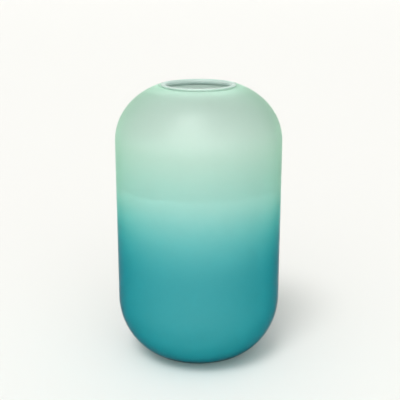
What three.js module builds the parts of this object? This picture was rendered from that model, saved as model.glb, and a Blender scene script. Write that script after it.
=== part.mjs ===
// A hand-blown cased-glass vase in the form of an upright capsule, with a small plain mouth.
// Millimetres, +Z up, origin at the centre of the flat ground base.
//
// The wall is a stack of glass layers, from the inside out: a clear core bubble, a mint opaline layer,
// a teal layer that thins to nothing above the middle, and a clear casing with a satin outer face.
// The layers close at the mouth in a fire-polished lip and stand on a thick clear base, ground flat.

import * as THREE from "three";

// Overall form: an ellipse arc, a straight side, and a second ellipse arc that the mouth cuts short.
const HEIGHT = 250;
const BODY_RADIUS = 73.8;
const HEEL_HEIGHT = 56.6;
const HEEL_CENTRE_RADIUS = 22.3;
const SHOULDER_APEX = 252;
const SHOULDER_HEIGHT = 51.8;
const SHOULDER_CENTRE_RADIUS = 15.5;

// Base: how much the grinding takes off the blown form, the eased edge of the flat, and the pontil hollow.
const GROUND_OFF = 0.5;
const BASE_EASING = 1.5;
const PONTIL_RADIUS = 13;
const PONTIL_DEPTH = 1.6;

// Mouth and lip. The crest of the lip lies this far outside the mouth's wall.
const MOUTH_RADIUS = 28;
const LIP_WIDTH = 4.8;
const LIP_DEPTH = 5.4;
const LIP_CREST = 2.6;

// Layer thicknesses, and the clearance kept between neighbouring layers.
const CASING = 1.5;
const TEAL = 0.8;
const TEAL_EDGE = 0.2;
const MINT = 0.9;
const CORE = 1;
const CLEARANCE = 0.3;

// The base is thicker than the wall: each layer boundary is lifted by this much at the axis.
const BASE_LIFT = 5;
const BASE_PAD_RADIUS = 40;

// The teal layer keeps its full thickness up to TEAL_FULL and ends at TEAL_TOP.
const TEAL_FULL = 92;
const TEAL_TOP = 176;

// Facets: segments round the axis, and steps along each arc, straight side, pontil hollow and lip.
const SEGMENTS = 40;
const ARC_STEPS = 6;
const SIDE_STEPS = 3;
const PONTIL_STEPS = 3;
const PAD_STEPS = 4;
const LIP_STEPS = 4;

const LIP_OUTER = MOUTH_RADIUS + LIP_WIDTH;
const CASING_EDGE = LIP_OUTER + CLEARANCE;
const HEEL_TOP = HEEL_HEIGHT - GROUND_OFF;
const SHOULDER_FOOT = SHOULDER_APEX - SHOULDER_HEIGHT;

// Depths of the layer boundaries below the outer face.
const TEAL_OUTSIDE = CASING + CLEARANCE;
const TEAL_INSIDE = TEAL_OUTSIDE + TEAL;
const MINT_OUTSIDE = TEAL_INSIDE + CLEARANCE;
const MINT_INSIDE = MINT_OUTSIDE + MINT;
const CORE_OUTSIDE = MINT_INSIDE + CLEARANCE;
const CORE_INSIDE = CORE_OUTSIDE + CORE;

const casingGlass = new THREE.MeshStandardMaterial({ color: 0xdff0e8, roughness: 0.45, metalness: 0 });
const tealGlass = new THREE.MeshStandardMaterial({ color: 0x2a8e98, roughness: 0.35, metalness: 0 });
const mintGlass = new THREE.MeshStandardMaterial({ color: 0xb4dcc6, roughness: 0.4, metalness: 0 });
const clearGlass = new THREE.MeshStandardMaterial({ color: 0xd3ebdf, roughness: 0.08, metalness: 0 });

/** A point of an outline, at a radius and a height. */
function point(radius, height) {
  return new THREE.Vector2(radius, height);
}

/** Height of an ellipse arc above its widest level, as a share of its full height. */
function arcRise(radius, centreRadius, wideRadius) {
  const share = THREE.MathUtils.clamp((radius - centreRadius) / (wideRadius - centreRadius), 0, 1);
  return Math.sqrt(1 - share * share);
}

/** Height of the heel at a radius, on the boundary that lies at a depth and is lifted at the axis. */
function heelHeight(radius, depth = 0, lift = 0) {
  const rise = arcRise(radius, HEEL_CENTRE_RADIUS, BODY_RADIUS - depth);
  return HEEL_TOP - (HEEL_HEIGHT - depth - lift) * rise;
}

/** Height of the shoulder at a radius, on the boundary that lies at a depth. */
function shoulderHeight(radius, depth = 0) {
  const rise = arcRise(radius, SHOULDER_CENTRE_RADIUS, BODY_RADIUS - depth);
  return SHOULDER_FOOT + (SHOULDER_HEIGHT - depth) * rise;
}

/** Points of the heel arc at a depth, from a radius out to the straight side. */
function heelArc(from, depth, lift = 0) {
  const across = BODY_RADIUS - depth - HEEL_CENTRE_RADIUS;
  const start = Math.asin(Math.max(from - HEEL_CENTRE_RADIUS, 0) / across);
  const points = [];
  for (let step = 0; step <= ARC_STEPS; step++) {
    const turn = THREE.MathUtils.lerp(start, Math.PI / 2, step / ARC_STEPS);
    const radius = HEEL_CENTRE_RADIUS + across * Math.sin(turn);
    points.push(point(radius, heelHeight(radius, depth, lift)));
  }
  return points;
}

/** Points of the shoulder arc at a depth, from the straight side in to the casing's edge at the lip. */
function shoulderArc(depth) {
  const across = BODY_RADIUS - depth - SHOULDER_CENTRE_RADIUS;
  const end = Math.asin((CASING_EDGE - SHOULDER_CENTRE_RADIUS) / across);
  const points = [];
  for (let step = 0; step <= ARC_STEPS; step++) {
    const turn = THREE.MathUtils.lerp(Math.PI / 2, end, step / ARC_STEPS);
    const radius = SHOULDER_CENTRE_RADIUS + across * Math.sin(turn);
    points.push(point(radius, shoulderHeight(radius, depth)));
  }
  return points;
}

/** The heel of an inner boundary, from the axis out to the straight side. */
function innerHeel(depth) {
  return [point(0, heelHeight(0, depth, BASE_LIFT)), ...heelArc(0, depth, BASE_LIFT)];
}

/** The whole of an inner boundary, from the axis up to the lip. */
function innerWall(depth) {
  return [...innerHeel(depth), ...shoulderArc(depth)];
}

/** Thickness of the teal layer at a height: full below TEAL_FULL, then thinning to its feather edge. */
function tealThickness(height) {
  const share = THREE.MathUtils.clamp((height - TEAL_FULL) / (TEAL_TOP - TEAL_FULL), 0, 1);
  return THREE.MathUtils.lerp(TEAL, TEAL_EDGE, share);
}

/** Points up the straight side, from where the teal starts to thin to a height, each at its own depth. */
function sideLine(to, depthAt) {
  const points = [];
  for (let step = 1; step <= SIDE_STEPS; step++) {
    const height = THREE.MathUtils.lerp(TEAL_FULL, to, (step - 1) / (SIDE_STEPS - 1));
    points.push(point(BODY_RADIUS - depthAt(height), height));
  }
  return points;
}

/** A closed solid of revolution about +Z. The outline runs anticlockwise in radius and height. */
function turned(name, outline, material) {
  const geometry = new THREE.LatheGeometry([...outline, outline[0].clone()], SEGMENTS);
  const mesh = new THREE.Mesh(geometry.rotateX(Math.PI / 2), material);
  mesh.name = name;
  return mesh;
}

/** The clear outer layer, from the edge of the base pad to the lip. */
function clearCasing() {
  const from = BASE_PAD_RADIUS + CLEARANCE;
  const outside = [...heelArc(from, 0), ...shoulderArc(0)];
  const inside = [...heelArc(from, CASING, BASE_LIFT), ...shoulderArc(CASING)];
  return turned("clear_casing", [...outside, ...inside.reverse()], casingGlass);
}

/** The thick clear base: ground flat below round the pontil hollow, dished above to take the layers. */
function baseSham() {
  const ground = 1 - GROUND_OFF / HEEL_HEIGHT;
  const reach = (BODY_RADIUS - HEEL_CENTRE_RADIUS) * Math.sqrt(1 - ground * ground);
  const flatRadius = HEEL_CENTRE_RADIUS + reach - BASE_EASING;
  const below = [];
  for (let step = 0; step <= PONTIL_STEPS; step++) {
    const share = step / PONTIL_STEPS;
    below.push(point(PONTIL_RADIUS * share, PONTIL_DEPTH * (1 - share * share)));
  }
  below.push(point(flatRadius, 0));
  const above = [];
  for (let step = 0; step <= PAD_STEPS; step++) {
    const outer = THREE.MathUtils.lerp(flatRadius + 2 * BASE_EASING, BASE_PAD_RADIUS, step / PAD_STEPS);
    below.push(point(outer, heelHeight(outer)));
    const inner = THREE.MathUtils.lerp(BASE_PAD_RADIUS, HEEL_CENTRE_RADIUS, step / PAD_STEPS);
    above.push(point(inner, heelHeight(inner, CASING, BASE_LIFT)));
  }
  above.push(point(0, heelHeight(0, CASING, BASE_LIFT)));
  return turned("base_sham", [...below, ...above], clearGlass);
}

/** The teal layer: a deep cup whose wall thins upwards to a feather edge. */
function tealOverlay() {
  const outside = [...innerHeel(TEAL_OUTSIDE), ...sideLine(TEAL_TOP, () => TEAL_OUTSIDE)];
  const insideDepth = (height) => TEAL_OUTSIDE + tealThickness(height);
  const inside = [...innerHeel(TEAL_INSIDE), ...sideLine(TEAL_TOP, insideDepth)];
  return turned("teal_overlay", [...outside, ...inside.reverse()], tealGlass);
}

/** The mint opaline layer: it lines the teal cup, and above the cup's edge it comes out to the casing. */
function mintOverlay() {
  const top = TEAL_TOP + CLEARANCE;
  const outsideDepth = (height) => TEAL_OUTSIDE + tealThickness(height) + CLEARANCE;
  const outside = [
    ...innerHeel(MINT_OUTSIDE),
    ...sideLine(top, outsideDepth),
    point(BODY_RADIUS - TEAL_OUTSIDE, top),
    ...shoulderArc(TEAL_OUTSIDE),
  ];
  return turned("mint_overlay", [...outside, ...innerWall(MINT_INSIDE).reverse()], mintGlass);
}

/** The clear core bubble that lines the vase and holds the water. */
function coreBubble() {
  const outline = [...innerWall(CORE_OUTSIDE), ...innerWall(CORE_INSIDE).reverse()];
  return turned("core_bubble", outline, clearGlass);
}

/** The fire-polished lip: flush with the shoulder outside, rounded over its crest into the mouth. */
function lipBead() {
  const foot = HEIGHT - LIP_DEPTH;
  const edge = shoulderHeight(LIP_OUTER);
  const crest = point(MOUTH_RADIUS + LIP_CREST, HEIGHT);
  const upTo = new THREE.QuadraticBezierCurve(point(LIP_OUTER, edge), point(LIP_OUTER - 1, HEIGHT), crest);
  const over = new THREE.Path().absellipse(crest.x, HEIGHT - LIP_CREST, LIP_CREST, LIP_CREST, Math.PI / 2, Math.PI);
  const easing = new THREE.Path().absarc(crest.x, foot + LIP_CREST, LIP_CREST, Math.PI, 1.5 * Math.PI);
  const inner = [...over.getPoints(LIP_STEPS).slice(1), ...easing.getPoints(LIP_STEPS)];
  return turned("lip_bead", [point(LIP_OUTER, foot), ...upTo.getPoints(2), ...inner], clearGlass);
}

const vase = new THREE.Group();
vase.name = "vase";
vase.add(clearCasing(), baseSham(), tealOverlay(), mintOverlay(), coreBubble(), lipBead());

export default vase;
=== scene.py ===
"""A hand-blown cased-glass vase, dressed and lit in a plain white studio.

Lengths are in metres and +Z is up. The vase stands on z = 0 with its axis through the origin. Its
wall is a stack of fused glass layers, and every layer is a solid of revolution that follows one
shared outline.
"""

import logging
import math
from dataclasses import dataclass
from enum import Enum
from typing import Callable

import bmesh
import bpy
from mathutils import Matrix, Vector


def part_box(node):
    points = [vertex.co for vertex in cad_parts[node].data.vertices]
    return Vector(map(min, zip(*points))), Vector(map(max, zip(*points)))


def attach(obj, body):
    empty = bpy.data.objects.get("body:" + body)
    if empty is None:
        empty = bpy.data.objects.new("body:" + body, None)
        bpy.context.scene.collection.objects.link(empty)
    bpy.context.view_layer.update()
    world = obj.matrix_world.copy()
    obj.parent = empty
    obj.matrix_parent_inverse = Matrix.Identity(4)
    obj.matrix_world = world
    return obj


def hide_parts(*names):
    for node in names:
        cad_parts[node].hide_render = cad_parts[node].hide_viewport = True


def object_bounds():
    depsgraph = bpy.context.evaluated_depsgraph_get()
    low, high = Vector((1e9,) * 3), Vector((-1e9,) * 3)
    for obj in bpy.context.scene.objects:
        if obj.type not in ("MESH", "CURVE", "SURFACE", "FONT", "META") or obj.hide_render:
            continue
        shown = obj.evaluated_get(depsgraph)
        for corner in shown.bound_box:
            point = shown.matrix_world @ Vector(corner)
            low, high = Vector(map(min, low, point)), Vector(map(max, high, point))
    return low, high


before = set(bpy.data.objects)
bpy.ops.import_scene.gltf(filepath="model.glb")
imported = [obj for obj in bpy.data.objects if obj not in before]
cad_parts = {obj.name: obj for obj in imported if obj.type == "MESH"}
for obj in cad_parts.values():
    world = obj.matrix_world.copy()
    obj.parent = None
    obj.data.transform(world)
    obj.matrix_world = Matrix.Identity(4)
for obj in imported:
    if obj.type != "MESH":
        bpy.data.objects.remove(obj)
CAD_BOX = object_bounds()

LOG = logging.getLogger("vase")
MM = 0.001
ON_AXIS = 1e-9
Point = tuple[float, float]
Triple = tuple[float, float, float]


# ------------------------------------------------------------------------------- outline


@dataclass(frozen=True)
class Outline:
    """The blown form: an ellipse heel, a straight side, and an ellipse shoulder that the mouth cuts.

    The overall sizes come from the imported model. The rest are the proportions of the form.
    """

    height: float = CAD_BOX[1].z
    radius: float = CAD_BOX[1].x
    heel_height: float = 56.6 * MM
    heel_centre: float = 22.3 * MM
    shoulder_apex: float = 252 * MM
    shoulder_height: float = 51.8 * MM
    shoulder_centre: float = 15.5 * MM
    ground_off: float = 0.5 * MM
    base_lift: float = 5 * MM
    lift_radius: float = 36 * MM
    arc_steps: int = 40
    side_steps: int = 16
    axis_steps: int = 4

    @property
    def heel_top(self) -> float:
        """Height at which the heel meets the straight side."""
        return self.heel_height - self.ground_off

    @property
    def shoulder_foot(self) -> float:
        """Height at which the straight side meets the shoulder."""
        return self.shoulder_apex - self.shoulder_height

    @staticmethod
    def _rise(radius: float, centre: float, wide: float) -> float:
        """Height of an ellipse arc above its widest level, as a share of the arc's full height."""
        share = min(max((radius - centre) / (wide - centre), 0.0), 1.0)
        return math.sqrt(1.0 - share * share)

    def heel_z(self, radius: float, depth: float = 0.0, lift: float = 0.0) -> float:
        """Height of the heel.

        Args:
            radius: distance from the axis.
            depth: depth of the boundary below the outer face.
            lift: how far the boundary is raised at the axis, where the base is thick.

        Returns:
            The height of that boundary at that radius.
        """
        rise = self._rise(radius, self.heel_centre, self.radius - depth)
        raised = lift * max(1.0 - (radius / self.lift_radius) ** 2, 0.0) ** 2
        return self.heel_top - (self.heel_height - depth - raised) * rise

    def shoulder_z(self, radius: float, depth: float = 0.0) -> float:
        """Height of the shoulder's boundary at a depth, at a distance from the axis."""
        rise = self._rise(radius, self.shoulder_centre, self.radius - depth)
        return self.shoulder_foot + (self.shoulder_height - depth) * rise

    def heel(self, start: float, depth: float, lift: float) -> list[Point]:
        """Points of the heel from a radius outwards to the straight side, evenly turned."""
        across = self.radius - depth - self.heel_centre
        first = math.asin(max(start - self.heel_centre, 0.0) / across)
        turned = math.pi / 2 - first
        points = []
        for step in range(self.arc_steps + 1):
            radius = self.heel_centre + across * math.sin(first + turned * step / self.arc_steps)
            points.append((radius, self.heel_z(radius, depth, lift)))
        return points

    def shoulder(self, end: float, depth: float) -> list[Point]:
        """Points of the shoulder from the straight side inwards to a radius, evenly turned."""
        across = self.radius - depth - self.shoulder_centre
        turned = math.asin((end - self.shoulder_centre) / across) - math.pi / 2
        points = []
        for step in range(self.arc_steps + 1):
            turn = math.pi / 2 + turned * step / self.arc_steps
            radius = self.shoulder_centre + across * math.sin(turn)
            points.append((radius, self.shoulder_z(radius, depth)))
        return points

    def side(
        self, low: float, high: float, depth_at: Callable[[float], float], steps: int
    ) -> list[Point]:
        """Points up the straight side, above one height and up to another, each at its own depth."""
        heights = [low + (high - low) * step / steps for step in range(1, steps + 1)]
        return [(self.radius - depth_at(height), height) for height in heights]

    def plain_side(self, depth: float) -> list[Point]:
        """Points up the whole straight side at one depth, short of the shoulder's foot."""
        whole = self.side(self.heel_top, self.shoulder_foot, lambda height: depth, self.side_steps)
        return whole[:-1]

    def inner_heel(self, depth: float) -> list[Point]:
        """The heel of an inner boundary, from the axis out to the straight side."""
        middle = self.heel_z(0.0, depth, self.base_lift)
        steps = self.axis_steps
        flat = [(self.heel_centre * step / steps, middle) for step in range(steps)]
        return flat + self.heel(0.0, depth, self.base_lift)


OUTLINE = Outline()


@dataclass(frozen=True)
class BlownWaver:
    """The slight unevenness of a free-blown wall: it only ever takes the wall inwards."""

    depth: float = 0.22 * MM
    lobes: tuple[tuple[int, float, float], ...] = ((2, 0.45, 9.0), (3, 0.3, 16.0), (5, 0.25, -31.0))

    def scale(self, azimuth: float, height: float) -> float:
        """Factor on a radius at an azimuth and a height, which is 1 at the base and at the lip."""
        share = height / OUTLINE.height
        fade = math.sqrt(math.sin(math.pi * min(max(share, 0.0), 1.0)))
        wave = 0.0
        for count, size, twist in self.lobes:
            wave += size * math.sin(count * azimuth + twist * height)
        return 1.0 - self.depth * fade * (1.0 - wave) / 2.0 / OUTLINE.radius


# -------------------------------------------------------------------------------- meshes


@dataclass(frozen=True)
class Lathe:
    """Turns closed outlines about the vase's axis into smooth closed meshes."""

    segments: int = 128
    waver: BlownWaver = BlownWaver()

    def turn(self, name: str, outline: list[Point]) -> bpy.types.Object:
        """Make one piece.

        Args:
            name: the piece's name.
            outline: radius and height of each corner, anticlockwise, closing on itself or on the axis.

        Returns:
            The piece, linked to the scene and smooth shaded.
        """
        mesh = bmesh.new()
        rings = [self._ring(mesh, radius, height) for radius, height in outline]
        for low, high in zip(rings, rings[1:] + rings[:1]):
            self._band(mesh, low, high)
        bmesh.ops.recalc_face_normals(mesh, faces=mesh.faces)
        data = bpy.data.meshes.new(name)
        mesh.to_mesh(data)
        mesh.free()
        data.shade_smooth()
        piece = bpy.data.objects.new(name, data)
        bpy.context.scene.collection.objects.link(piece)
        return piece

    def _ring(
        self, mesh: bmesh.types.BMesh, radius: float, height: float
    ) -> list[bmesh.types.BMVert]:
        """One ring of corners, or the single corner of an outline point on the axis."""
        if radius <= ON_AXIS:
            return [mesh.verts.new((0.0, 0.0, height))]
        ring = []
        for segment in range(self.segments):
            azimuth = 2.0 * math.pi * segment / self.segments
            reach = radius * self.waver.scale(azimuth, height)
            x, y = reach * math.cos(azimuth), reach * math.sin(azimuth)
            ring.append(mesh.verts.new((x, y, height)))
        return ring

    def _band(self, mesh: bmesh.types.BMesh, low: list, high: list) -> None:
        """The faces between two neighbouring rings."""
        if len(low) == 1 and len(high) == 1:
            return
        for segment in range(self.segments):
            after = (segment + 1) % self.segments
            if len(low) == 1:
                mesh.faces.new((low[0], high[after], high[segment]))
            elif len(high) == 1:
                mesh.faces.new((low[segment], low[after], high[0]))
            else:
                mesh.faces.new((low[segment], low[after], high[after], high[segment]))


# ------------------------------------------------------------------------- shader groups


class Nodes:
    """A small helper that adds and joins shader nodes in one tree."""

    def __init__(self, tree: bpy.types.NodeTree) -> None:
        """Keep the tree that the nodes go into."""
        self.tree = tree

    def add(self, kind: str, **settings: object) -> bpy.types.Node:
        """Add a node of a type and set its attributes."""
        node = self.tree.nodes.new(kind)
        for key, value in settings.items():
            setattr(node, key, value)
        return node

    def join(self, start: bpy.types.NodeSocket, end: bpy.types.NodeSocket) -> None:
        """Link an output to an input."""
        self.tree.links.new(start, end)

    def math(
        self, operation: str, first: object, second: object = None, clamp: bool = False
    ) -> bpy.types.NodeSocket:
        """Add a Math node whose inputs are sockets or numbers, and return its output."""
        node = self.add("ShaderNodeMath", operation=operation, use_clamp=clamp)
        for index, value in enumerate((first, second)):
            if isinstance(value, bpy.types.NodeSocket):
                self.join(value, node.inputs[index])
            elif value is not None:
                node.inputs[index].default_value = value
        return node.outputs[0]

    def split(self, vector: bpy.types.NodeSocket) -> bpy.types.NodeOutputs:
        """Separate a vector into its X, Y and Z."""
        node = self.add("ShaderNodeSeparateXYZ")
        self.join(vector, node.inputs[0])
        return node.outputs

    def ramp(
        self, value: bpy.types.NodeSocket, start: object, stop: object, low: float, high: float
    ) -> bpy.types.NodeSocket:
        """Map a value smoothly from one range to another.

        Args:
            value: the value to map.
            start: the value, a socket or a number, that gives the low result.
            stop: the value, a socket or a number, that gives the high result.
            low: the low result.
            high: the high result.

        Returns:
            The mapped value.
        """
        node = self.add("ShaderNodeMapRange", interpolation_type="SMOOTHSTEP")
        self.join(value, node.inputs["Value"])
        for name, edge in (("From Min", start), ("From Max", stop)):
            if isinstance(edge, bpy.types.NodeSocket):
                self.join(edge, node.inputs[name])
            else:
                node.inputs[name].default_value = edge
        node.inputs["To Min"].default_value = low
        node.inputs["To Max"].default_value = high
        return node.outputs["Result"]

    def noise(
        self,
        vector: bpy.types.NodeSocket,
        scale: float,
        detail: float,
        stretch: Triple = (1.0, 1.0, 1.0),
    ) -> bpy.types.NodeSocket:
        """Add a noise texture over a stretched copy of a vector, and return its value from 0 to 1."""
        mapping = self.add("ShaderNodeMapping")
        mapping.inputs["Scale"].default_value = stretch
        self.join(vector, mapping.inputs["Vector"])
        noise = self.add("ShaderNodeTexNoise")
        noise.inputs["Scale"].default_value = scale
        noise.inputs["Detail"].default_value = detail
        self.join(mapping.outputs[0], noise.inputs["Vector"])
        return noise.outputs["Fac"]


class ShaderGroup(Enum):
    """The effects that more than one glass shares."""

    STAIN_AND_SHADE_FADE = "stain_and_shade_fade"
    CASED_COLOUR = "cased_colour"
    SATIN_ETCH = "satin_etch"
    MARVER_SKIN = "marver_skin"

    def place(self, nodes: Nodes, **values: float) -> bpy.types.Node:
        """Put this group into a material's tree with its own values."""
        node = nodes.add("ShaderNodeGroup", node_tree=bpy.data.node_groups[self.value])
        for name, value in values.items():
            node.inputs[name.replace("_", " ").capitalize()].default_value = value
        return node


@dataclass(frozen=True)
class GroupMaker:
    """Builds each shared effect once, as a node group with named sockets.

    The scales are in cycles per metre. A stretch over 1 packs the pattern closer along that axis.
    """

    waver_scale: float = 14.0
    waver_stretch: Triple = (1.0, 1.0, 0.6)
    line_scale: float = 30.0
    line_stretch: Triple = (0.35, 0.35, 18.0)
    line_gain: float = 8.0
    drift_scale: float = 30.0
    marver_stretch: Triple = (0.04, 0.04, 1.0)
    broad_detail: float = 2.0
    fine_detail: float = 3.0

    def make_all(self) -> None:
        """Build every group."""
        self.stain_and_shade_fade()
        self.cased_colour()
        self.satin_etch()
        self.marver_skin()

    @staticmethod
    def _start(group: ShaderGroup, inputs: dict[str, object], outputs: dict[str, str]) -> tuple:
        """Open a group with its inputs and outputs.

        Args:
            group: the effect.
            inputs: default value of each input, a number or a colour.
            outputs: socket type of each output.

        Returns:
            The node helper, the group's input node and its output node.
        """
        tree = bpy.data.node_groups.new(group.value, "ShaderNodeTree")
        for name, value in inputs.items():
            kind = "NodeSocketColor" if isinstance(value, tuple) else "NodeSocketFloat"
            socket = tree.interface.new_socket(name=name, in_out="INPUT", socket_type=kind)
            socket.default_value = value
        for name, kind in outputs.items():
            tree.interface.new_socket(name=name, in_out="OUTPUT", socket_type=kind)
        nodes = Nodes(tree)
        return nodes, nodes.add("NodeGroupInput"), nodes.add("NodeGroupOutput")

    def stain_and_shade_fade(self) -> None:
        """How much of a coloured gather is left at each height, 1 below and 0 above; its upper tail is
        also painted shade, darker down the side where the sheen of the top-front light falls off.

        The edge wavers a little round the vase, and faint level lines, drawn out by turning, show where
        it is thin.
        """
        # Painted shade: the fade reaches up to 0.22 m so its upper tail darkens the mint below the
        # top-front sheen, on top of the teal stain.
        inputs = {"Full height": 0.138, "Gone height": 0.220, "Waver": 0.006, "Lines": 0.02}
        outputs = {"Amount": "NodeSocketFloat"}
        nodes, given, result = self._start(ShaderGroup.STAIN_AND_SHADE_FADE, inputs, outputs)
        place = nodes.add("ShaderNodeTexCoord").outputs["Object"]
        height = nodes.split(place)["Z"]
        full, gone = given.outputs["Full height"], given.outputs["Gone height"]
        broad = nodes.noise(place, self.waver_scale, self.broad_detail, self.waver_stretch)
        uneven = nodes.math("SUBTRACT", broad, 0.5)
        shifted = nodes.math("ADD", height, nodes.math("MULTIPLY", uneven, given.outputs["Waver"]))
        fade = nodes.ramp(shifted, full, gone, 1.0, 0.0)
        fine = nodes.noise(place, self.line_scale, self.fine_detail, self.line_stretch)
        lines = nodes.math("SUBTRACT", fine, 0.5)
        thin = nodes.math("MULTIPLY", fade, nodes.math("SUBTRACT", 1.0, fade))
        streaks = nodes.math("MULTIPLY", lines, thin)
        streaks = nodes.math("MULTIPLY", streaks, given.outputs["Lines"])
        streaks = nodes.math("MULTIPLY", streaks, self.line_gain)
        nodes.join(nodes.math("ADD", fade, streaks, clamp=True), result.inputs["Amount"])

    def cased_colour(self) -> None:
        """Colour of a ground glass seen through an amount of tinted glass, as the glass absorbs."""
        inputs = {"Ground": (1.0, 1.0, 1.0, 1.0), "Tint": (0.5, 0.5, 0.5, 1.0), "Amount": 1.0}
        outputs = {"Colour": "NodeSocketColor"}
        nodes, given, result = self._start(ShaderGroup.CASED_COLOUR, inputs, outputs)
        ground = nodes.add("ShaderNodeSeparateColor")
        tint = nodes.add("ShaderNodeSeparateColor")
        nodes.join(given.outputs["Ground"], ground.inputs[0])
        nodes.join(given.outputs["Tint"], tint.inputs[0])
        colour = nodes.add("ShaderNodeCombineColor")
        for channel in range(3):
            passed = nodes.math("POWER", tint.outputs[channel], given.outputs["Amount"])
            seen = nodes.math("MULTIPLY", ground.outputs[channel], passed)
            nodes.join(seen, colour.inputs[channel])
        nodes.join(colour.outputs[0], result.inputs["Colour"])

    def satin_etch(self) -> None:
        """The bite of the acid on a satin face: a fine even grain, and a roughness that drifts."""
        inputs = {"Roughness": 0.4, "Drift": 0.06, "Grain per metre": 1800.0}
        outputs = {"Height": "NodeSocketFloat", "Roughness": "NodeSocketFloat"}
        nodes, given, result = self._start(ShaderGroup.SATIN_ETCH, inputs, outputs)
        place = nodes.add("ShaderNodeTexCoord").outputs["Object"]
        grain = nodes.add("ShaderNodeTexNoise")
        grain.inputs["Detail"].default_value = self.fine_detail
        nodes.join(place, grain.inputs["Vector"])
        nodes.join(given.outputs["Grain per metre"], grain.inputs["Scale"])
        broad = nodes.math("SUBTRACT", nodes.noise(place, self.drift_scale, self.fine_detail), 0.5)
        drift = nodes.math("MULTIPLY", broad, given.outputs["Drift"])
        nodes.join(grain.outputs["Fac"], result.inputs["Height"])
        nodes.join(nodes.math("ADD", given.outputs["Roughness"], drift), result.inputs["Roughness"])

    def marver_skin(self) -> None:
        """The height of the long shallow unevenness that turning and shaping leave in hot glass."""
        inputs = {"Swell per metre": 22.0, "Lines per metre": 120.0, "Line share": 0.25}
        outputs = {"Height": "NodeSocketFloat"}
        nodes, given, result = self._start(ShaderGroup.MARVER_SKIN, inputs, outputs)
        place = nodes.add("ShaderNodeTexCoord").outputs["Object"]
        swell = nodes.add("ShaderNodeTexNoise")
        nodes.join(place, swell.inputs["Vector"])
        nodes.join(given.outputs["Swell per metre"], swell.inputs["Scale"])
        flat = nodes.add("ShaderNodeMapping")
        flat.inputs["Scale"].default_value = self.marver_stretch
        nodes.join(place, flat.inputs["Vector"])
        lines = nodes.add("ShaderNodeTexNoise")
        nodes.join(flat.outputs[0], lines.inputs["Vector"])
        nodes.join(given.outputs["Lines per metre"], lines.inputs["Scale"])
        share = nodes.math("MULTIPLY", lines.outputs["Fac"], given.outputs["Line share"])
        nodes.join(nodes.math("ADD", swell.outputs["Fac"], share), result.inputs["Height"])


# ------------------------------------------------------------------------------ finishes


def open_material(name: str) -> tuple[bpy.types.Material, Nodes, bpy.types.Node]:
    """Start a material, and give it with its node helper and its Principled shader."""
    made = bpy.data.materials.new(name)
    made.use_nodes = True
    return made, Nodes(made.node_tree), made.node_tree.nodes["Principled BSDF"]


@dataclass(frozen=True)
class Depth:
    """What a thickness of glass takes out of the light that passes."""

    colour: Triple
    density: float

    def fill(self, made: bpy.types.Material, nodes: Nodes) -> None:
        """Fill a glass with this absorption."""
        absorb = nodes.add("ShaderNodeVolumeAbsorption")
        absorb.inputs["Color"].default_value = (*self.colour, 1.0)
        absorb.inputs["Density"].default_value = self.density
        nodes.join(absorb.outputs[0], made.node_tree.nodes["Material Output"].inputs["Volume"])


@dataclass(frozen=True)
class CasedGlass:
    """A see-through layer of the wall.

    Its neighbours are glass too, so it hardly bends the light.
    """

    name: str
    depth: Depth
    ior: float = 1.04
    roughness: float = 0.12
    grain: float = 0.00001
    bite: float = 0.5

    def material(self) -> bpy.types.Material:
        """Build the material."""
        made, nodes, shader = open_material(self.name)
        shader.inputs["Base Color"].default_value = (1.0, 1.0, 1.0, 1.0)
        shader.inputs["Transmission Weight"].default_value = 1.0
        shader.inputs["IOR"].default_value = self.ior
        etch = ShaderGroup.SATIN_ETCH.place(nodes, roughness=self.roughness)
        nodes.join(etch.outputs["Roughness"], shader.inputs["Roughness"])
        bump = nodes.add("ShaderNodeBump")
        bump.inputs["Distance"].default_value = self.grain
        bump.inputs["Strength"].default_value = self.bite
        nodes.join(etch.outputs["Height"], bump.inputs["Height"])
        nodes.join(bump.outputs["Normal"], shader.inputs["Normal"])
        self.depth.fill(made, nodes)
        return made


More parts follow.
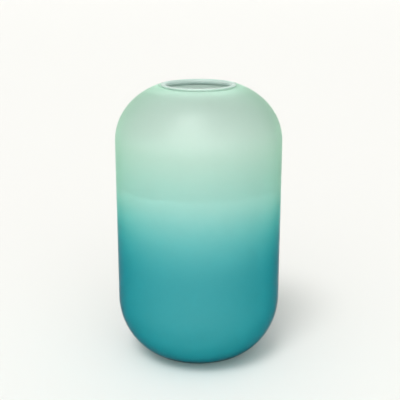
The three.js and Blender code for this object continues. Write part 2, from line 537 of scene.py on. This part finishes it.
@dataclass(frozen=True)
class OpalGlass:
    """Milky glass that carries light in its depth, stained by the teal that fades with height.

    It carries light further in the thin shoulder, and less far again close to the rim. The upper tail
    of the teal stain is also painted shade, darker down the side where the top-front sheen fades.
    """

    name: str
    ground: Triple = (0.69, 0.985, 0.86)
    tint: Triple = (0.449, 0.60, 0.715)
    roughness: float = 0.42
    gloss: float = 0.5
    reach: float = 0.015
    thin_from: float = 0.205
    thin_full: float = 0.238
    thin_reach: float = 0.026
    rim_from: float = 0.241
    rim_full: float = 0.2495
    rim_share: float = 0.3
    skin: float = 0.00012

    def material(self) -> bpy.types.Material:
        """Build the material."""
        made, nodes, shader = open_material(self.name)
        # Base colour: teal stain low down, and painted shade in the fade's upper tail below the
        # top-front sheen.
        fade = ShaderGroup.STAIN_AND_SHADE_FADE.place(nodes)
        colour = ShaderGroup.CASED_COLOUR.place(nodes)
        colour.inputs["Ground"].default_value = (*self.ground, 1.0)
        colour.inputs["Tint"].default_value = (*self.tint, 1.0)
        nodes.join(fade.outputs["Amount"], colour.inputs["Amount"])
        nodes.join(colour.outputs["Colour"], shader.inputs["Base Color"])
        etch = ShaderGroup.SATIN_ETCH.place(nodes, roughness=self.roughness)
        nodes.join(etch.outputs["Roughness"], shader.inputs["Roughness"])
        shader.inputs["Specular IOR Level"].default_value = self.gloss
        shader.inputs["Subsurface Weight"].default_value = 1.0
        shader.inputs["Subsurface Radius"].default_value = (1.0, 1.0, 1.0)
        height = nodes.split(nodes.add("ShaderNodeTexCoord").outputs["Object"])["Z"]
        reach = nodes.ramp(height, self.thin_from, self.thin_full, self.reach, self.thin_reach)
        rim = nodes.ramp(height, self.rim_from, self.rim_full, 1.0, self.rim_share)
        nodes.join(nodes.math("MULTIPLY", reach, rim), shader.inputs["Subsurface Scale"])
        skin = ShaderGroup.MARVER_SKIN.place(nodes)
        bump = nodes.add("ShaderNodeBump")
        bump.inputs["Distance"].default_value = self.skin
        nodes.join(skin.outputs["Height"], bump.inputs["Height"])
        nodes.join(bump.outputs["Normal"], shader.inputs["Normal"])
        return made


CASING_DEPTH = Depth((0.42, 0.93, 0.62), 95.0)
TEAL_DEPTH = Depth((0.0, 0.775, 0.91), 1000.0)
CORE_DEPTH = Depth((0.44, 0.78, 0.62), 80.0)

SATIN_CASING = CasedGlass("satin_casing_glass", CASING_DEPTH)
CLEAR_BASE = CasedGlass("base_glass", CASING_DEPTH)
TEAL_GATHER = CasedGlass("teal_glass", TEAL_DEPTH, ior=1.0, roughness=0.0, grain=0.0)
MINT_LINER = OpalGlass("mint_opaline_glass")
POLISHED_CORE = CasedGlass("core_glass", CORE_DEPTH, ior=1.02, roughness=0.02)
# The lip's ground is darker than the liner's mint: painted shade, which keeps the top-lit lip as dim as
# the shaded mouth round it.
POLISHED_LIP = OpalGlass("polished_lip_glass", ground=(0.48, 0.76, 0.63), rim_share=1.0)


# ---------------------------------------------------------------------------------- vase


@dataclass
class Vase:
    """The six fused layers and zones of the vase."""

    lathe: Lathe = Lathe()
    fuse: float = 0.1 * MM
    core_inside: float = 5.1 * MM
    pontil_radius: float = 13 * MM
    pontil_depth: float = 1.6 * MM
    base_easing: float = 1.5 * MM
    teal_full: float = 83 * MM
    teal_top: float = 163 * MM
    teal: float = 0.8 * MM
    teal_edge: float = 0.004 * MM
    mouth: float = 28 * MM
    lip_round: float = 2.6 * MM
    lip_lean: float = 1 * MM
    fade_steps: int = 32
    dish_steps: int = 16
    round_steps: int = 12
    lip_steps: int = 8
    easing_steps: int = 6

    @property
    def under_lip(self) -> float:
        """Radius at which the layers end, a little inside the lip that they are fused to."""
        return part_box("lip_bead")[1].x - 3 * self.fuse

    @staticmethod
    def dress(piece: bpy.types.Object, node: str, finish: CasedGlass | OpalGlass) -> None:
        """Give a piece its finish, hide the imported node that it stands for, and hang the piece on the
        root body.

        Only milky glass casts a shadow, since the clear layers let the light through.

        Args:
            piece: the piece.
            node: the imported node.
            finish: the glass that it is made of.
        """
        piece.data.materials.append(finish.material())
        piece.visible_shadow = isinstance(finish, OpalGlass)
        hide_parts(node)
        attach(piece, "root")
        LOG.info("%s: %d faces, for %s", piece.name, len(piece.data.polygons), node)

    def build(self) -> None:
        """Build and dress every layer."""
        self.build_casing()
        self.build_base()
        self.build_teal()
        self.build_mint()
        self.build_core()
        self.build_lip()

    @staticmethod
    def depth_of(node: str) -> float:
        """Depth of a CAD layer's outer boundary below the vase's outer face."""
        return OUTLINE.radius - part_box(node)[1].x

    def wall(self, depth: float) -> list[Point]:
        """A boundary that keeps one depth below the outer face, from the axis up to the lip."""
        low = OUTLINE.inner_heel(depth) + OUTLINE.plain_side(depth)
        return low + OUTLINE.shoulder(self.under_lip, depth)

    def build_casing(self) -> None:
        """The clear casing, from the edge of the base pad to the lip."""
        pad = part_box("base_sham")[1].x
        outside = OUTLINE.heel(pad, 0.0, 0.0) + OUTLINE.plain_side(0.0)
        outside += OUTLINE.shoulder(self.under_lip, 0.0)
        inside = self.bond(pad, self.fuse)
        piece = self.lathe.turn("casing_shell", outside + inside[::-1])
        self.dress(piece, "clear_casing", SATIN_CASING)

    def bond(self, start: float, sink: float) -> list[Point]:
        """The face where the mint meets the glass round it, from the heel up to the lip.

        Args:
            start: radius that the face starts from, or zero for the axis.
            sink: how far the face is taken into the mint.

        Returns:
            The points of that face.
        """
        full = self.depth_of("teal_overlay") + self.teal + sink
        top, bare = self.teal_top, self.depth_of("mint_overlay") + sink
        face = OUTLINE.heel(start, full, OUTLINE.base_lift) if start else OUTLINE.inner_heel(full)
        low, high = OUTLINE.heel_top, OUTLINE.shoulder_foot
        face += OUTLINE.side(low, top, lambda height: bare + self.teal_depth(height), self.fade_steps)
        face += OUTLINE.side(top, high, lambda height: bare, OUTLINE.side_steps)[:-1]
        return face + OUTLINE.shoulder(self.under_lip, bare)

    def build_base(self) -> None:
        """The thick base: ground flat round the pontil hollow below, dished above."""
        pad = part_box("base_sham")[1].x
        ground = 1.0 - OUTLINE.ground_off / OUTLINE.heel_height
        across = OUTLINE.radius - OUTLINE.heel_centre
        flat = OUTLINE.heel_centre + across * math.sqrt(1.0 - ground**2)
        below = []
        for step in range(self.round_steps + 1):
            share = step / self.round_steps
            below.append((self.pontil_radius * share, self.pontil_depth * (1.0 - share * share)))
        start, stop = flat - self.base_easing, flat + self.base_easing
        rise = OUTLINE.heel_z(stop)
        for step in range(self.easing_steps + 1):
            share = step / self.easing_steps
            below.append((start + (stop - start) * share, rise * share * share))
        for step in range(1, self.round_steps + 1):
            radius = stop + (pad - stop) * step / self.round_steps
            below.append((radius, OUTLINE.heel_z(radius)))
        depth = self.depth_of("teal_overlay") + self.teal + self.fuse
        above = []
        for step in range(self.dish_steps + 1):
            radius = pad * (1.0 - step / self.dish_steps)
            above.append((radius, OUTLINE.heel_z(radius, depth, OUTLINE.base_lift)))
        piece = self.lathe.turn("base_pad", below + above)
        self.dress(piece, "base_sham", CLEAR_BASE)

    def teal_depth(self, height: float) -> float:
        """Thickness of the teal at a height on the straight side."""
        share = min(max((self.teal_top - height) / (self.teal_top - self.teal_full), 0.0), 1.0)
        gained = self.teal - self.teal_edge
        return self.teal_edge + gained * share * share * (3.0 - 2.0 * share)

    def build_teal(self) -> None:
        """The teal cup, which thins upwards to a feather edge."""
        low, top = OUTLINE.heel_top, self.teal_top
        depth = self.depth_of("teal_overlay")
        outside = OUTLINE.inner_heel(depth)
        outside += OUTLINE.side(low, top, lambda height: depth, OUTLINE.side_steps)
        sunk = depth + self.fuse / 2
        inside = OUTLINE.inner_heel(sunk + self.teal)
        inside += OUTLINE.side(low, top, lambda height: sunk + self.teal_depth(height), self.fade_steps)
        piece = self.lathe.turn("teal_cup", outside + inside[::-1])
        self.dress(piece, "teal_overlay", TEAL_GATHER)

    def build_mint(self) -> None:
        """The mint layer, full height, which comes out to the casing above the teal."""
        outside = self.bond(0.0, 0.0)
        inside = self.wall(self.depth_of("core_bubble"))
        piece = self.lathe.turn("mint_liner", outside + inside[::-1])
        self.dress(piece, "mint_overlay", MINT_LINER)

    def build_core(self) -> None:
        """The clear core bubble that lines the vase."""
        outside = self.wall(self.depth_of("core_bubble") - self.fuse)
        inside = self.wall(self.core_inside)
        piece = self.lathe.turn("core_lining", outside + inside[::-1])
        self.dress(piece, "core_bubble", POLISHED_CORE)

    def build_lip(self) -> None:
        """The fire-polished lip: flush with the shoulder outside, rounded over into the mouth."""
        low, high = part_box("lip_bead")
        outer, foot, top = high.x, low.z, high.z
        edge = OUTLINE.shoulder_z(outer)
        crest = self.mouth + self.lip_round
        points = [(outer, foot)]
        for step in range(self.lip_steps + 1):
            share = step / self.lip_steps
            start, middle, end = (1 - share) ** 2, 2 * share * (1 - share), share**2
            radius = start * outer + middle * (outer - self.lip_lean) + end * crest
            points.append((radius, start * edge + (middle + end) * top))
        for centre, first in ((top - self.lip_round, 0.5), (foot + self.lip_round, 1.0)):
            for step in range(1, self.round_steps + 1):
                turn = math.pi * (first + 0.5 * step / self.round_steps)
                radius = self.mouth + self.lip_round * (1 + math.cos(turn))
                points.append((radius, centre + self.lip_round * math.sin(turn)))
        piece = self.lathe.turn("lip_ring", points)
        self.dress(piece, "lip_bead", POLISHED_LIP)


# -------------------------------------------------------------------------------- studio


@dataclass(frozen=True)
class KeyLight:
    """The main light, so far off that it is even over the whole floor, and soft at its edges."""

    name: str = "soft_key"
    place: Triple = (-0.19, -0.46, 0.86)
    strength: float = 1.28
    spread: float = math.radians(20.0)

    def hang(self) -> None:
        """Put the light into the scene, shining on the vase."""
        lamp = bpy.data.lights.new(self.name, "SUN")
        lamp.energy = self.strength
        lamp.angle = self.spread
        holder = bpy.data.objects.new(self.name, lamp)
        holder.location = self.place
        holder.visible_transmission = False
        holder.rotation_mode = "QUATERNION"
        holder.rotation_quaternion = (-Vector(self.place)).to_track_quat("-Z", "Y")
        bpy.context.scene.collection.objects.link(holder)


@dataclass(frozen=True)
class Diffuser:
    """A broad patch of the dome, brighter where a diffuser hangs and darker where a dark card does."""

    place: Triple
    strength: float
    edge: float = 0.5
    heart: float = 0.98

    def glow(self, nodes: Nodes, direction: bpy.types.NodeSocket) -> bpy.types.NodeSocket:
        """What the patch adds in a direction: all of it at its heart and none at its edge."""
        facing = nodes.add("ShaderNodeVectorMath", operation="DOT_PRODUCT")
        nodes.join(direction, facing.inputs[0])
        facing.inputs[1].default_value = Vector(self.place).normalized()
        return nodes.ramp(facing.outputs["Value"], self.edge, self.heart, 0.0, self.strength)


@dataclass(frozen=True)
class SoftDome:
    """The soft light all round: level by height, with bright patches in front and dark ones beside."""

    low: float = 0.42
    high: float = 0.66
    low_edge: float = 0.1
    high_edge: float = 0.7
    colour: Triple = (0.985, 1.0, 0.975)
    patches: tuple[Diffuser, ...] = (
        Diffuser((-0.12, -0.66, 0.74), 0.6),
        Diffuser((0.0, -1.0, 0.12), 1.05, 0.6, 1.0),
        Diffuser((-1.0, 0.0, 0.05), -0.3),
        Diffuser((1.0, 0.0, 0.05), -0.3),
    )

    def hang(self) -> None:
        """Make the dome the scene's world."""
        world = bpy.data.worlds.new("studio_dome")
        world.use_nodes = True
        nodes = Nodes(world.node_tree)
        background = world.node_tree.nodes["Background"]
        background.inputs["Color"].default_value = (*self.colour, 1.0)
        direction = nodes.add("ShaderNodeTexCoord").outputs["Generated"]
        level = nodes.split(direction)["Z"]
        light = nodes.ramp(level, self.low_edge, self.high_edge, self.low, self.high)
        for patch in self.patches:
            light = nodes.math("ADD", light, patch.glow(nodes, direction))
        nodes.join(light, background.inputs["Strength"])
        bpy.context.scene.world = world


@dataclass(frozen=True)
class Sweep:
    """The pale floor, level under the vase and far behind it, then curving up."""

    half_width: float = 12.0
    front: float = -5.0
    bend: float = 14.0
    curve: float = 2.0
    wall_top: float = 6.0
    curve_steps: int = 24
    colour: Triple = (0.812, 0.80, 0.783)

    def lay(self) -> None:
        """Build the floor."""
        mesh = bmesh.new()
        profile = [(self.front, 0.0), (self.bend, 0.0)]
        for step in range(1, self.curve_steps + 1):
            turn = math.pi / 2 * step / self.curve_steps
            rise = self.curve * (1 - math.cos(turn))
            profile.append((self.bend + self.curve * math.sin(turn), rise))
        profile.append((self.bend + self.curve, self.wall_top))
        sides = (-self.half_width, self.half_width)
        rows = [[mesh.verts.new((x, y, z)) for x in sides] for y, z in profile]
        for low, high in zip(rows, rows[1:]):
            mesh.faces.new((low[0], low[1], high[1], high[0]))
        data = bpy.data.meshes.new("studio_sweep")
        mesh.to_mesh(data)
        mesh.free()
        data.shade_smooth()
        sweep = bpy.data.objects.new("studio_sweep", data)
        bpy.context.scene.collection.objects.link(sweep)
        paper, _, shader = open_material("studio_paper")
        shader.inputs["Base Color"].default_value = (*self.colour, 1.0)
        shader.inputs["Roughness"].default_value = 0.9
        shader.inputs["Specular IOR Level"].default_value = 0.1
        data.materials.append(paper)


@dataclass(frozen=True)
class Studio:
    """The floor, the lights and the camera."""

    lens: float = 76.5
    distance: float = 0.7667
    pitch: float = math.radians(15.78)
    aim_height: float = 0.1449
    side_step: float = 0.0012
    bounces: int = 24
    diffuse_bounces: int = 12
    glossy_bounces: int = 8
    far_end: float = 50.0

    def build(self) -> None:
        """Set up the whole studio."""
        self.build_camera()
        Sweep().lay()
        SoftDome().hang()
        KeyLight().hang()
        scene = bpy.context.scene
        scene.view_settings.view_transform = "Standard"
        scene.cycles.max_bounces = self.bounces
        scene.cycles.transmission_bounces = self.bounces
        scene.cycles.diffuse_bounces = self.diffuse_bounces
        scene.cycles.glossy_bounces = self.glossy_bounces
        LOG.info("studio: one soft key under a soft dome")

    def build_camera(self) -> None:
        """A camera in front of the vase, a little above its mouth."""
        data = bpy.data.cameras.new("camera")
        data.lens = self.lens
        data.clip_end = self.far_end
        camera = bpy.data.objects.new("camera", data)
        away, rise = self.distance * math.cos(self.pitch), self.distance * math.sin(self.pitch)
        camera.location = (self.side_step, -away, self.aim_height + rise)
        camera.rotation_euler = (math.pi / 2 - self.pitch, 0.0, 0.0)
        bpy.context.scene.collection.objects.link(camera)
        bpy.context.scene.camera = camera


def main() -> None:
    """Build the studio and the vase."""
    logging.basicConfig(level=logging.INFO, format="%(name)s %(message)s")
    Studio().build()
    GroupMaker().make_all()
    Vase().build()


if __name__ == "__main__":
    main()
